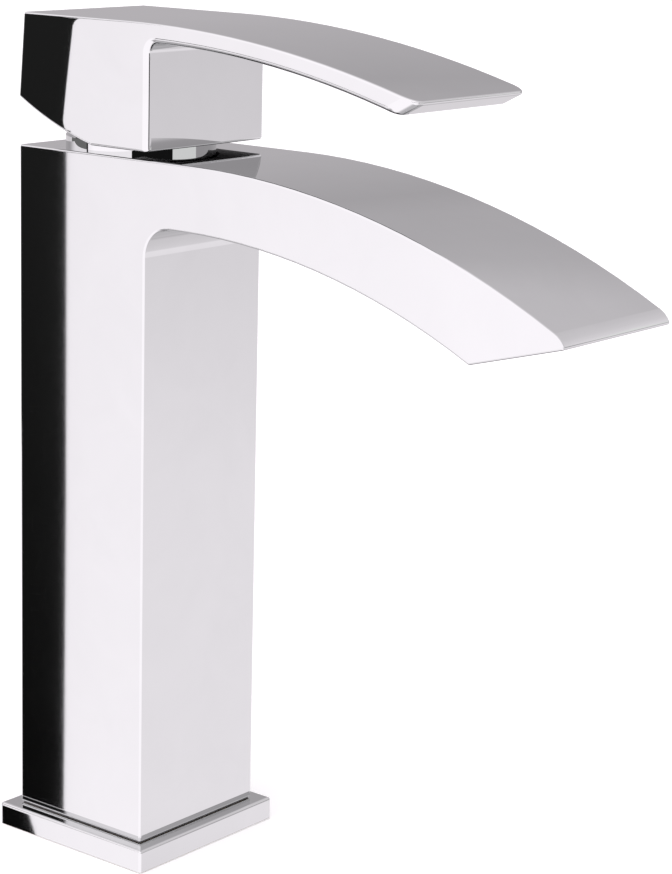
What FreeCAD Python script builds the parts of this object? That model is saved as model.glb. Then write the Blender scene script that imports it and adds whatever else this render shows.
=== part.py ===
import FreeCAD
import Part
import math
import os
import Sketcher

# Single-lever basin mixer tap.
# X runs forward along the spout, Z runs up, and the origin is on the column's axis at deck level.

SIZES = (
    # base plate and its two seals
    ("plate_ledge", 4.0),
    ("plate_thick", 6.0),
    ("plate_corner", 0.8),
    ("plate_edge", 0.8),
    ("spigot_gap", 0.4),
    ("spigot_wall", 1.6),
    ("spigot_height", 3.0),
    ("gasket_inset", 2.5),
    ("gasket_width", 3.0),
    ("gasket_thick", 2.4),
    ("seal_thick", 0.25),
    ("seal_inset", 0.6),
    # column
    ("column_shell", 3.5),
    ("column_top", 188.4),
    ("column_wall", 3.5),
    ("edge_round", 0.6),
    ("hollow_round", 3.0),
    ("seat_block", 14.0),
    # spout
    ("spout_reach", 150.8),
    ("spout_top_radius", 237.0),
    ("flat_ahead", 2.0),
    ("crown_ahead", 5.5),
    ("crown_depth", 16.9),
    ("spout_under_radius", 199.0),
    ("armpit_radius", 8.0),
    ("tip_run", 4.6166),
    ("tip_roll", 6.8),
    ("tip_trim", 0.2),
    ("outlet_set_back", 12.8),
    ("outlet_tilt", 15.5),
    # waterway inside the spout
    ("spout_wall", 3.0),
    ("port_width", 20.0),
    ("port_under_shoulder", 5.0),
    ("aerator_shelf", 1.6),
    # aerator cassette in the outlet
    ("aerator_length", 32.0),
    ("aerator_width", 11.0),
    ("aerator_depth", 7.0),
    ("aerator_set_back", 2.2),
    ("aerator_ledge", 2.0),
    ("aerator_throat", 2.6),
    ("aerator_gap", 0.2),
    ("aerator_wall", 1.4),
    ("aerator_rib", 0.9),
    ("aerator_seal_thick", 1.2),
    ("aerator_lip", 0.3),
    ("screen_thick", 0.6),
    # threaded holes for the stud and the hoses
    ("stud_bore", 6.8),
    ("stud_depth", 20.0),
    ("stud_set_back", 12.0),
    ("stud_boss_side", 13.0),
    ("stud_boss_height", 34.0),
    ("inlet_bore", 9.0),
    ("inlet_depth", 9.0),
    ("inlet_ahead", 4.0),
    ("inlet_apart", 13.6),
    ("inlet_way", 5.0),
    # cartridge
    ("chamber_gap", 1.2),
    ("cartridge_side", 34.8),
    ("housing_wall", 2.2),
    ("base_thick", 4.0),
    ("base_channel", 4.4),
    ("base_channel_depth", 2.4),
    ("ring_outer", 8.4),
    ("ring_inner", 5.8),
    ("inlet_ring_thick", 1.2),
    ("disc_ring_thick", 1.0),
    ("fixed_disc_gap", 0.4),
    ("fixed_disc_thick", 4.0),
    ("outlet_hole", 6.0),
    ("moving_disc_side", 20.8),
    ("moving_disc_thick", 3.5),
    ("mixing_side", 10.4),
    ("mixing_depth", 2.0),
    ("driver_plate", 3.5),
    ("tower_long", 9.2),
    ("tower_wide", 10.0),
    ("tower_over_ball", 1.8),
    ("ball_slot_wide", 6.4),
    ("shoulder_rise", 22.5),
    ("shoulder_roof", 2.3),
    ("neck_wall", 2.1),
    ("neck_over_shoulder", 10.1),
    ("oring_thick", 2.3),
    ("oring_under_shoulder", 2.9),
    ("washer_thick", 0.4),
    ("flange_gap", 0.7),
    ("carrier_neck", 22.4),
    ("carrier_lip", 0.2),
    ("lift_angle", 24.0),
    ("running_gap", 0.3),
    ("part_gap", 0.1),
    ("bearing_gap", 0.05),
    # lever stem and its pin
    ("pivot_over_shoulder", 4.5),
    ("pin_side", 3.2),
    ("pin_inset", 0.4),
    ("lever_arm", 10.0),
    ("ball_side", 5.2),
    ("stem_neck", 3.6),
    ("shank_long", 7.2),
    ("shank_wide", 7.6),
    ("shank_drop", 5.5),
    ("stem_square", 8.0),
    ("square_foot", 9.5),
    ("square_height", 19.5),
    ("square_chamfer", 0.8),
    # lock nut and cover ring
    ("nut_step", 0.4),
    ("nut_height", 6.0),
    ("nut_relief", 1.0),
    ("nut_slot", 4.0),
    ("nut_slot_depth", 2.5),
    ("cover_overlap", 0.8),
    ("cover_skirt", 2.6),
    ("cover_rise", 3.8),
    ("cover_gap", 0.6),
    ("cover_bevel", 1.0),
    # handle
    ("handle_wall", 2.0),
    ("handle_front_wall", 2.6),
    ("handle_gap", 2.0),
    ("handle_rise", 32.6),
    ("block_lean", 1.8),
    ("foot_rear_rise", 10.5),
    ("foot_front", 3.6),
    ("foot_radius", 100.0),
    ("blade_flat", 15.0),
    ("blade_top_radius", 330.0),
    ("blade_reach", 108.2),
    ("blade_thick", 5.1),
    ("blade_crown", 20.0),
    ("blade_under_radius", 290.0),
    ("blade_slant", 6.6),
    ("blade_armpit", 2.6),
    ("blade_corner", 3.2),
    ("blade_nose", 1.6),
    ("skirt_gap", 0.8),
    ("skirt_height", 10.6),
    ("core_side", 33.0),
    ("core_height", 15.0),
    ("socket_boss", 15.0),
    ("socket_boss_drop", 3.5),
    # handle screw and plug
    ("screw_side", 5.0),
    ("screw_length", 6.0),
    ("screw_rise", 15.6),
    ("screw_key", 2.5),
    ("screw_key_depth", 2.5),
    ("plug_side", 6.0),
    ("plug_length", 3.6),
    ("plug_bevel", 0.5),
)

doc = FreeCAD.newDocument("basin_mixer_tap")
sheet = doc.addObject("Spreadsheet::Sheet", "Sizes")
for row, (alias, number) in enumerate(SIZES, start=1):
    sheet.set(f"A{row}", alias)
    sheet.set(f"B{row}", str(number))
    sheet.setAlias(f"B{row}", alias)
doc.recompute()


class Size:
    """A length from the sheet, or one worked out from such lengths: its value and its formula."""

    def __init__(self, value, formula):
        self.value = value
        self.formula = formula

    def __add__(self, other):
        other = as_size(other)
        return Size(self.value + other.value, f"({self.formula} + {other.formula})")

    def __sub__(self, other):
        other = as_size(other)
        return Size(self.value - other.value, f"({self.formula} - {other.formula})")

    def __mul__(self, other):
        other = as_size(other)
        return Size(self.value * other.value, f"({self.formula} * {other.formula})")

    def __truediv__(self, other):
        other = as_size(other)
        return Size(self.value / other.value, f"({self.formula} / {other.formula})")

    def __neg__(self):
        return Size(-self.value, f"(-1 * {self.formula})")

    def root(self):
        return Size(math.sqrt(self.value), f"sqrt({self.formula})")

    def sine(self):
        return Size(math.sin(math.radians(self.value)), f"sin({self.formula})")

    def cosine(self):
        return Size(math.cos(math.radians(self.value)), f"cos({self.formula})")


def as_size(number):
    return number if isinstance(number, Size) else Size(float(number), repr(float(number)))


def size(alias):
    return Size(float(getattr(sheet, alias)), f"Sizes.{alias}")


ZERO = as_size(0)


def new_body(label):
    body = doc.addObject("PartDesign::Body", label)
    body.Label = label
    return body


def new_sketch(body, name, plane, offset=ZERO):
    """A sketch on one of the body's own planes, moved by offset along the plane's normal."""
    sketch = body.newObject("Sketcher::SketchObject", name)
    planes = {feature.Role: feature for feature in body.Origin.OriginFeatures}
    sketch.AttachmentSupport = [(planes[plane], "")]
    sketch.MapMode = "FlatFace"
    sketch.AttachmentOffset = FreeCAD.Placement(
        FreeCAD.Vector(0, 0, offset.value), FreeCAD.Rotation())
    if offset is not ZERO:
        sketch.setExpression("AttachmentOffset.Base.z", offset.formula)
    return sketch


H_AXIS, V_AXIS = range(-1, -3, -1)
START, END, CENTRE = range(1, 4)


def fix_point(sketch, item, spot, x, y):
    """Hold a point of a sketch at x, y, each tied to the sheet."""
    for kind, distance, axis in (("DistanceX", x, V_AXIS), ("DistanceY", y, H_AXIS)):
        if distance is ZERO:
            sketch.addConstraint(Sketcher.Constraint("PointOnObject", item, spot, axis))
        else:
            index = sketch.addConstraint(
                Sketcher.Constraint(kind, H_AXIS, START, item, spot, distance.value))
            sketch.setExpression(f"Constraints[{index}]", distance.formula)


def fix_radius(sketch, item, radius):
    index = sketch.addConstraint(Sketcher.Constraint("Radius", item, radius.value))
    sketch.setExpression(f"Constraints[{index}]", radius.formula)


def arc_between(start, end, radius, turn):
    """The arc under a half circle from start to end that turns to the left or to the right."""
    chord = end - start
    side = FreeCAD.Vector(-chord.y, chord.x, 0).normalize()
    rise = math.sqrt(radius * radius - chord.Length * chord.Length / 4)
    sign = 1 if turn == "left" else -1
    centre = (start + end) / 2 + side * (sign * rise)
    middle = centre - side * (sign * radius)
    return Part.Arc(start, middle, end)


def outline(sketch, *corners):
    """A closed outline. A corner is x, y, and may add the radius and the turn of the arc after it."""
    points = [FreeCAD.Vector(corner[0].value, corner[1].value, 0) for corner in corners]
    ends = []
    for place, corner in enumerate(corners):
        start = points[place]
        end = points[(place + 1) % len(points)]
        if len(corner) == 2:
            item = sketch.addGeometry(Part.LineSegment(start, end))
            ends.append((item, START, END))
        else:
            item = sketch.addGeometry(arc_between(start, end, corner[2].value, corner[3]))
            first = sketch.getPoint(item, START)
            forward = (first - start).Length < (first - end).Length
            ends.append((item, START, END) if forward else (item, END, START))
            fix_radius(sketch, item, corner[2])
    for place, (item, first, last) in enumerate(ends):
        following, following_first, _ = ends[(place + 1) % len(ends)]
        sketch.addConstraint(
            Sketcher.Constraint("Coincident", item, last, following, following_first))
        fix_point(sketch, item, first, corners[place][0], corners[place][1])


def rectangle(sketch, low_x, low_y, high_x, high_y):
    outline(sketch, (low_x, low_y), (high_x, low_y), (high_x, high_y), (low_x, high_y))


def square(sketch, side, x=ZERO, y=ZERO):
    rectangle(sketch, x - side / 2, y - side / 2, x + side / 2, y + side / 2)


def circle(sketch, diameter, x=ZERO, y=ZERO):
    item = sketch.addGeometry(Part.Circle(
        FreeCAD.Vector(x.value, y.value, 0), FreeCAD.Vector(0, 0, 1), diameter.value / 2))
    fix_point(sketch, item, CENTRE, x, y)
    fix_radius(sketch, item, diameter / 2)


def extrude(body, kind, name, sketch, length, side):
    """Pad or pocket a sketch. Side is up, down or both, seen along the sketch's normal."""
    before = body.Shape.Volume if body.Tip else 0.0
    feature = body.newObject(f"PartDesign::{kind}", name)
    feature.Profile = sketch
    feature.Type = "Length"
    feature.setExpression("Length", length.formula)
    if side == "both":
        feature.SideType = "Symmetric"
    else:
        forward = "up" if kind == "Pad" else "down"
        feature.Reversed = side != forward
    doc.recompute()
    grown = body.Shape.Volume - before
    if (kind == "Pad" and grown <= 0) or (kind == "Pocket" and grown >= 0):
        raise ValueError(f"{name} changes nothing")
    return feature


def pad(body, name, sketch, length, side="up"):
    return extrude(body, "Pad", name, sketch, length, side)


def pocket(body, name, sketch, length, side="down"):
    return extrude(body, "Pocket", name, sketch, length, side)


def revolve(body, name, *corners):
    """A solid of revolution about Z. Its corners are radius and height."""
    sketch = new_sketch(body, f"{name}_half", "XZ_Plane")
    outline(sketch, *corners)
    feature = body.newObject("PartDesign::Revolution", name)
    feature.Profile = sketch
    feature.ReferenceAxis = (sketch, ["V_Axis"])
    feature.Angle = 360
    doc.recompute()
    return feature


def edge_names(feature, wanted):
    return [f"Edge{number}" for number, edge in enumerate(feature.Shape.Edges, start=1) if wanted(edge)]


def fillet(body, name, feature, wanted, radius):
    """Round the edges of a feature that pass the test wanted."""
    rounding = body.newObject("PartDesign::Fillet", name)
    rounding.Base = (feature, edge_names(feature, wanted))
    rounding.setExpression("Radius", radius.formula)
    doc.recompute()
    return rounding


def chamfer(body, name, feature, wanted, width):
    bevel = body.newObject("PartDesign::Chamfer", name)
    bevel.Base = (feature, edge_names(feature, wanted))
    bevel.setExpression("Size", width.formula)
    doc.recompute()
    return bevel


NEAR = 1e-4
SHARP = math.radians(10)


def lies_at(edge, **place):
    """True if every corner of an edge has the given x, y or z."""
    return all(abs(getattr(vertex.Point, axis) - value) < NEAR
               for vertex in edge.Vertexes for axis, value in place.items())


def is_upright(edge):
    points = [vertex.Point for vertex in edge.Vertexes]
    return len(points) == 2 and math.hypot(points[0].x - points[1].x, points[0].y - points[1].y) < NEAR


def is_sharp(shape, edge):
    """True if the two faces that meet in an edge turn sharply there."""
    faces = shape.ancestorsOfType(edge, Part.Face)
    if len(faces) != 2:
        return False
    middle = edge.valueAt((edge.FirstParameter + edge.LastParameter) / 2)
    normals = [face.normalAt(*face.Surface.parameter(middle)) for face in faces]
    return normals[0].getAngle(normals[1]) > SHARP


# Widths that several pieces share, worked out from the cartridge outwards
cartridge_inside = size("cartridge_side") - size("housing_wall") * 2
carrier_side = cartridge_inside - size("flange_gap") * 2
neck_bore = size("carrier_neck") + size("running_gap") * 2
neck_side = neck_bore + size("neck_wall") * 2
chamber_bore = size("cartridge_side") + size("chamber_gap") * 2
nut_bore = chamber_bore + size("nut_step") * 2
column_side = nut_bore + size("column_shell") * 2
half_column = column_side / 2
hollow_side = column_side - size("column_wall") * 2
spigot_side = hollow_side - size("spigot_gap") * 2
plate_bore = spigot_side - size("spigot_wall") * 2
plate_side = column_side + size("plate_ledge") * 2
gasket_outer = plate_side - size("gasket_inset") * 2
cover_side = nut_bore + size("cover_overlap") * 2
mouth_side = cover_side + size("skirt_gap") * 2
handle_width = mouth_side + size("handle_wall") * 2
block_rear = mouth_side / 2 + size("handle_wall")
block_front = mouth_side / 2 + size("handle_front_wall")

# Heights that several pieces share
column_foot = size("plate_thick") + size("seal_thick")
column_top = size("column_top")
nut_top = column_top - size("cover_skirt") - size("running_gap")
shoulder = nut_top - size("nut_height")
seat = shoulder - size("shoulder_rise")
hollow_top = seat - size("seat_block")
disc_foot = seat + size("base_thick")
moving_foot = disc_foot + size("fixed_disc_thick")
driver_foot = moving_foot + size("moving_disc_thick")
tower_foot = driver_foot + size("driver_plate")
nut_floor = shoulder - size("nut_relief")
pivot = shoulder + size("pivot_over_shoulder")
ball_height = pivot - size("lever_arm")
tower_top = ball_height + size("tower_over_ball")
neck_top = shoulder + size("neck_over_shoulder")
oring_height = shoulder - size("oring_under_shoulder")
cover_top = column_top + size("cover_rise")
handle_foot = column_top + size("handle_gap")
handle_top = handle_foot + size("handle_rise")
skirt_top = handle_foot + size("skirt_height")
screw_height = handle_foot + size("screw_rise")
inlet_spots = [(size("inlet_ahead"), size("inlet_apart") / 2),
               (size("inlet_ahead"), -size("inlet_apart") / 2)]


def arc_height(reach, crown_reach, crown_height, radius):
    """Height at reach of an arc that is level at its crown and falls away from it."""
    along = reach - crown_reach
    return crown_height - radius + (radius * radius - along * along).root()


# Lines of the spout that its outside, its waterway and its outlet share
crown_reach = half_column + size("armpit_radius") + size("crown_ahead")
crown_height = column_top - size("crown_depth")
spout_flat = crown_reach + size("flat_ahead")
tip_slope_sin = (size("spout_reach") - spout_flat) / size("spout_top_radius")
tip_slope_cos = (as_size(1) - tip_slope_sin * tip_slope_sin).root()
roll_drop = size("tip_roll") - (size("tip_roll") * size("tip_roll")
                                - size("tip_run") * size("tip_run")).root()
roll_start = (size("spout_reach") - size("tip_run") * tip_slope_cos
              + roll_drop * tip_slope_sin)
roll_top = arc_height(roll_start, spout_flat, column_top, size("spout_top_radius"))
roll_share = size("tip_roll") / size("spout_top_radius")
roll_reach = roll_start - (roll_start - spout_flat) * roll_share
roll_crown = roll_top + (column_top - roll_top) * roll_share
tip_low = arc_height(size("spout_reach"), roll_reach, roll_crown, size("tip_roll"))
slope_cos = size("outlet_tilt").cosine()
slope_sin = size("outlet_tilt").sine()
outlet_reach = size("spout_reach") - size("outlet_set_back")
outlet_height = tip_low + size("tip_trim") - size("outlet_set_back") * slope_sin / slope_cos


def at_outlet(along, inward):
    """A point of the XZ plane, given along the sloping outlet face and inward from it."""
    x = outlet_reach + along * slope_cos - inward * slope_sin
    z = outlet_height + along * slope_sin + inward * slope_cos
    return (x, z)


def at_outlet_on_arc(inward, crown_x, crown_z, radius):
    """Where a line along the outlet face, that far inward, meets an arc given by its crown."""
    x, z = at_outlet(ZERO, inward)
    side = x - crown_x
    rise = z - crown_z + radius
    middle = side * slope_cos + rise * slope_sin
    along = (middle * middle + radius * radius - side * side - rise * rise).root() - middle
    return at_outlet(along, inward)


def outlet_box(sketch, low_along, low_inward, high_along, high_inward):
    outline(sketch, at_outlet(low_along, low_inward), at_outlet(high_along, low_inward),
            at_outlet(high_along, high_inward), at_outlet(low_along, high_inward))


# Base plate: cast square plate with a bore for hoses and stud and a spigot that centres the column
def make_base_plate():
    body = new_body("base_plate")
    sketch = new_sketch(body, "plate_square", "XY_Plane")
    square(sketch, plate_side)
    plate = pad(body, "plate", sketch, size("plate_thick"))
    corners = fillet(body, "plate_corners", plate, is_upright, size("plate_corner"))
    fillet(body, "plate_top_edge", corners,
           lambda edge: lies_at(edge, z=size("plate_thick").value), size("plate_edge"))
    spigot = new_sketch(body, "spigot_circle", "XY_Plane", size("plate_thick"))
    circle(spigot, spigot_side)
    pad(body, "spigot", spigot, size("spigot_height"))
    bore = new_sketch(body, "bore_circle", "XY_Plane")
    circle(bore, plate_bore)
    pocket(body, "bore", bore, size("plate_thick") + size("spigot_height"), "up")
    groove = new_sketch(body, "gasket_groove_rings", "XY_Plane")
    circle(groove, gasket_outer)
    circle(groove, gasket_outer - size("gasket_width") * 2)
    pocket(body, "gasket_groove", groove, size("gasket_thick"), "up")
    return body


# Deck gasket: rubber ring in the groove under the plate, pressed flush with the deck
def make_deck_gasket():
    body = new_body("deck_gasket")
    outer = gasket_outer / 2 - size("part_gap")
    inner = gasket_outer / 2 - size("gasket_width") + size("part_gap")
    revolve(body, "gasket", (inner, ZERO), (outer, ZERO),
            (outer, size("gasket_thick")), (inner, size("gasket_thick")))
    return body


# Column seal: thin rubber sheet between the plate and the foot of the column
def make_column_seal():
    body = new_body("column_seal")
    sketch = new_sketch(body, "seal_outline", "XY_Plane", size("plate_thick"))
    square(sketch, column_side - size("seal_inset") * 2)
    circle(sketch, spigot_side + size("part_gap") * 2)
    pad(body, "seal", sketch, size("seal_thick"))
    return body


# Body casting: square column and full-width curved spout in one piece of plated brass
def make_body_casting():
    body = new_body("body_casting")
    shape_outside(body)
    hollow_column(body)
    bore_cartridge_seat(body)
    hollow_spout(body)
    return body


def shape_outside(body):
    reach = size("spout_reach")
    under_radius = size("spout_under_radius")
    armpit = size("armpit_radius")
    tip_under = arc_height(reach, crown_reach, crown_height, under_radius)
    side = new_sketch(body, "side_view", "XZ_Plane")
    outline(side,
            (-half_column, column_foot),
            (half_column, column_foot),
            (half_column, crown_height - armpit, armpit, "right"),
            (half_column + armpit, crown_height),
            (crown_reach, crown_height, under_radius, "right"),
            (reach, tip_under),
            (reach, tip_low, size("tip_roll"), "left"),
            (roll_start, roll_top, size("spout_top_radius"), "left"),
            (spout_flat, column_top),
            (-half_column, column_top))
    pad(body, "column_and_spout", side, column_side, "both")
    cut = new_sketch(body, "outlet_cut_line", "XZ_Plane")
    outlet_box(cut, -half_column, -reach, half_column, ZERO)
    face = pocket(body, "outlet_cut", cut, column_side * 2, "both")
    fillet(body, "outer_edges", face, lambda edge: is_sharp(face.Shape, edge), size("edge_round"))


def hollow_column(body):
    way = new_sketch(body, "hollow_square", "XY_Plane", column_foot)
    square(way, hollow_side)
    hollow = pocket(body, "hollow", way, hollow_top - column_foot, "up")
    corner = hollow_side.value / 2

    def is_inner_corner(edge):
        point = edge.Vertexes[0].Point
        return (is_upright(edge) and abs(abs(point.x) - corner) < NEAR
                and abs(abs(point.y) - corner) < NEAR)

    fillet(body, "hollow_corners", hollow, is_inner_corner, size("hollow_round"))
    boss_foot = column_foot + size("spigot_height") + size("running_gap")
    boss = new_sketch(body, "stud_boss_outline", "XY_Plane", boss_foot)
    wall = -half_column + size("column_wall") / 2
    front = -size("stud_set_back") + size("stud_boss_side") / 2
    rectangle(boss, wall, -size("stud_boss_side") / 2, front, size("stud_boss_side") / 2)
    pad(body, "stud_boss", boss, size("stud_boss_height"))
    drill = new_sketch(body, "stud_hole_circle", "XY_Plane", boss_foot)
    circle(drill, size("stud_bore"), -size("stud_set_back"))
    pocket(body, "stud_hole", drill, size("stud_depth"), "up")


def bore_cartridge_seat(body):
    chamber = new_sketch(body, "chamber_circle", "XY_Plane", column_top)
    circle(chamber, chamber_bore)
    pocket(body, "chamber", chamber, column_top - seat)
    thread = new_sketch(body, "nut_circle", "XY_Plane", column_top)
    circle(thread, nut_bore)
    pocket(body, "nut_thread", thread, column_top - nut_floor)
    for number, (x, y) in enumerate(inlet_spots, start=1):
        inlet = new_sketch(body, f"inlet_circle_{number}", "XY_Plane", hollow_top)
        circle(inlet, size("inlet_bore"), x, y)
        pocket(body, f"inlet_{number}", inlet, size("inlet_depth"), "up")
        way = new_sketch(body, f"inlet_way_circle_{number}", "XY_Plane", seat)
        circle(way, size("inlet_way"), x, y)
        pocket(body, f"inlet_way_{number}", way, size("seat_block"))


def hollow_spout(body):
    wall = size("spout_wall")
    roof = column_top - wall
    floor = crown_height + wall
    bend = size("armpit_radius") + wall
    bend_start = half_column - wall
    bend_end = bend_start + bend
    top_radius = size("spout_top_radius") - wall
    under_radius = size("spout_under_radius") + wall
    end = size("aerator_depth") + size("aerator_shelf")
    spout = new_sketch(body, "waterway_side_view", "XZ_Plane")
    outline(spout,
            (bend_end, floor),
            (crown_reach, floor, under_radius, "right"),
            at_outlet_on_arc(end, crown_reach, floor, under_radius),
            (*at_outlet_on_arc(end, spout_flat, roof, top_radius), top_radius, "left"),
            (spout_flat, roof),
            (bend_end, roof))
    pocket(body, "waterway", spout, column_side - wall * 2, "both")
    port = new_sketch(body, "port_side_view", "XZ_Plane")
    inside = size("cartridge_side") / 2 - wall * 2
    port_roof = shoulder - size("port_under_shoulder")
    outline(port,
            (inside, disc_foot),
            (bend_start, disc_foot),
            (bend_start, floor - bend, bend, "right"),
            (bend_end, floor),
            (bend_end + wall, floor),
            (bend_end + wall, roof),
            (half_column + wall, roof),
            (bend_start + size("edge_round"), port_roof),
            (inside, port_roof))
    pocket(body, "port", port, size("port_width"), "both")
    middle = -size("aerator_set_back")
    half_width = size("aerator_width") / 2
    nest = new_sketch(body, "aerator_nest_side_view", "XZ_Plane")
    outlet_box(nest, middle - half_width, -size("aerator_depth"),
               middle + half_width, size("aerator_depth"))
    pocket(body, "aerator_nest", nest, size("aerator_length"), "both")
    throat = new_sketch(body, "aerator_throat_side_view", "XZ_Plane")
    half_throat = half_width - size("aerator_ledge")
    outlet_box(throat, middle - half_throat, ZERO,
               middle + half_throat, size("aerator_depth") + size("aerator_throat"))
    pocket(body, "aerator_throat", throat,
           size("aerator_length") - size("aerator_ledge") * 2, "both")


# Cartridge base: moulded plate on the seat, with two inlets, a centre outlet and an open side channel
def make_cartridge_base():
    body = new_body("cartridge_base")
    sketch = new_sketch(body, "base_circle", "XY_Plane", seat)
    circle(sketch, size("cartridge_side"))
    pad(body, "base", sketch, size("base_thick"))
    for number, (x, y) in enumerate(inlet_spots, start=1):
        way = new_sketch(body, f"way_circle_{number}", "XY_Plane", seat)
        circle(way, size("inlet_way"), x, y)
        pocket(body, f"way_{number}", way, size("base_thick"), "up")
        under = new_sketch(body, f"inlet_ring_circle_{number}", "XY_Plane", seat)
        circle(under, size("ring_outer"), x, y)
        pocket(body, f"inlet_ring_seat_{number}", under, size("inlet_ring_thick"), "up")
        above = new_sketch(body, f"disc_ring_circle_{number}", "XY_Plane", disc_foot)
        circle(above, size("ring_outer"), x, y)
        pocket(body, f"disc_ring_seat_{number}", above, size("disc_ring_thick"))
    channel = new_sketch(body, "channel_outline", "XY_Plane", disc_foot)
    half = size("base_channel") / 2
    rectangle(channel, -size("outlet_hole") / 2, -half, size("cartridge_side"), half)
    pocket(body, "channel", channel, size("base_channel_depth"))
    return body


def make_rings(label, foot, thick):
    """A pair of rubber rings at the two inlets."""
    body = new_body(label)
    sketch = new_sketch(body, f"{label}_circles", "XY_Plane", foot)
    for x, y in inlet_spots:
        circle(sketch, size("ring_outer") - size("part_gap") * 2, x, y)
        circle(sketch, size("ring_inner"), x, y)
    pad(body, f"{label}_pair", sketch, thick)
    return body


# Fixed disc: fired ceramic plate with two inlet holes and one outlet hole
def make_fixed_disc():
    body = new_body("fixed_disc")
    sketch = new_sketch(body, "fixed_disc_circles", "XY_Plane", disc_foot)
    circle(sketch, cartridge_inside - size("fixed_disc_gap") * 2)
    circle(sketch, size("outlet_hole"))
    for x, y in inlet_spots:
        circle(sketch, size("inlet_way"), x, y)
    pad(body, "fixed_plate", sketch, size("fixed_disc_thick"))
    return body


# Moving disc: fired ceramic plate whose recess joins the inlets to the outlet as it slides
def make_moving_disc():
    body = new_body("moving_disc")
    sketch = new_sketch(body, "moving_disc_circle", "XY_Plane", moving_foot)
    circle(sketch, size("moving_disc_side"))
    pad(body, "moving_plate", sketch, size("moving_disc_thick"))
    recess = new_sketch(body, "mixing_circle", "XY_Plane", moving_foot)
    circle(recess, size("mixing_side"))
    pocket(body, "mixing_recess", recess, size("mixing_depth"), "up")
    return body


# Disc driver: moulded slider on the moving disc, with a slotted tower for the lever's ball tip
def make_disc_driver():
    body = new_body("disc_driver")
    sketch = new_sketch(body, "driver_circle", "XY_Plane", driver_foot)
    circle(sketch, size("moving_disc_side"))
    pad(body, "driver_base", sketch, size("driver_plate"))
    tower = new_sketch(body, "tower_outline", "XY_Plane", tower_foot)
    half_long = size("tower_long") / 2
    half_wide = size("tower_wide") / 2
    rectangle(tower, -half_long, -half_wide, half_long, half_wide)
    pad(body, "tower", tower, tower_top - tower_foot)
    slot = new_sketch(body, "ball_slot_outline", "XY_Plane", tower_top)
    half_slot = size("ball_side") / 2 + size("part_gap") * 1.5
    half_slot_wide = size("ball_slot_wide") / 2
    rectangle(slot, -half_slot, -half_slot_wide, half_slot, half_slot_wide)
    slot_floor = ball_height - size("ball_side") / 2 - size("part_gap") * 2
    pocket(body, "ball_slot", slot, tower_top - slot_floor)
    return body


# Cartridge housing: moulded cup over the discs, with a neck that the turret turns in
def make_cartridge_housing():
    body = new_body("cartridge_housing")
    outer = size("cartridge_side") / 2
    inner = cartridge_inside / 2
    neck = neck_side / 2
    neck_inner = neck_bore / 2
    roof = shoulder - size("shoulder_roof")
    groove_foot = oring_height - size("oring_thick") / 2 - size("part_gap")
    groove_top = oring_height + size("oring_thick") / 2 + size("part_gap")
    groove_floor = chamber_bore / 2 - size("part_gap") * 2 - size("oring_thick")
    revolve(body, "housing",
            (inner, disc_foot), (outer, disc_foot),
            (outer, groove_foot), (groove_floor, groove_foot),
            (groove_floor, groove_top), (outer, groove_top),
            (outer, shoulder), (neck, shoulder), (neck, neck_top), (neck_inner, neck_top),
            (neck_inner, roof), (inner, roof))
    return body


# Cartridge ring: eight-sided rubber section in the housing's groove, against the bore of the casting
def make_cartridge_oring():
    body = new_body("cartridge_oring")
    half = size("oring_thick") / 2
    flat = half * (as_size(2).root() - 1)
    middle = chamber_bore / 2 - size("part_gap") - half
    revolve(body, "ring",
            (middle - flat, oring_height - half), (middle + flat, oring_height - half),
            (middle + half, oring_height - flat), (middle + half, oring_height + flat),
            (middle + flat, oring_height + half), (middle - flat, oring_height + half),
            (middle - half, oring_height + flat), (middle - half, oring_height - flat))
    return body


# Glide washer: thin slippery ring between the turret's flange and the housing
def make_glide_washer():
    body = new_body("glide_washer")
    outer = carrier_side / 2
    inner = neck_bore / 2
    top = shoulder - size("shoulder_roof")
    foot = top - size("washer_thick")
    revolve(body, "washer", (inner, foot), (outer, foot), (outer, top), (inner, top))
    return body


# Lever carrier: moulded turret that turns with the handle, carries the pin and guides the driver
def make_lever_carrier():
    body = new_body("lever_carrier")
    flange_top = shoulder - size("shoulder_roof") - size("washer_thick") - size("part_gap")
    flange_foot = tower_foot + size("running_gap")
    sketch = new_sketch(body, "flange_circle", "XY_Plane", flange_foot)
    circle(sketch, carrier_side)
    pad(body, "flange", sketch, flange_top - flange_foot)
    neck = new_sketch(body, "carrier_neck_circle", "XY_Plane", flange_top)
    circle(neck, size("carrier_neck"))
    carrier_top = neck_top + size("carrier_lip")
    pad(body, "turret", neck, carrier_top - flange_top)
    gap = size("running_gap")
    lift_sin = size("lift_angle").sine()
    lift_cos = size("lift_angle").cosine()
    guide = new_sketch(body, "guide_outline", "XY_Plane", flange_foot)
    guide_wide = size("tower_wide") / 2 + gap
    guide_rear = -size("tower_long") / 2 - gap
    guide_front = size("tower_long") / 2 + size("lever_arm") * lift_sin + gap
    rectangle(guide, guide_rear, -guide_wide, guide_front, guide_wide)
    guide_top = tower_top + gap
    pocket(body, "guide", guide, guide_top - flange_foot, "up")
    half_wide = size("shank_wide") / 2 + gap
    near = (size("shank_long") / 2 + gap) / lift_cos
    lower = new_sketch(body, "lower_slot_outline", "XY_Plane", guide_top)
    slot_front = near + (pivot - guide_top) * lift_sin / lift_cos
    rectangle(lower, -near, -half_wide, slot_front, half_wide)
    pocket(body, "lower_slot", lower, pivot - guide_top, "up")
    upper = new_sketch(body, "upper_slot_outline", "XY_Plane", carrier_top)
    slot_rear = near + (carrier_top - pivot) * lift_sin / lift_cos
    rectangle(upper, -slot_rear, -half_wide, near, half_wide)
    pocket(body, "upper_slot", upper, carrier_top - pivot)
    hole = new_sketch(body, "pin_hole_circle", "XZ_Plane")
    circle(hole, size("pin_side") + size("bearing_gap") * 2, ZERO, pivot)
    pocket(body, "pin_hole", hole, carrier_side, "both")
    return body


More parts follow.
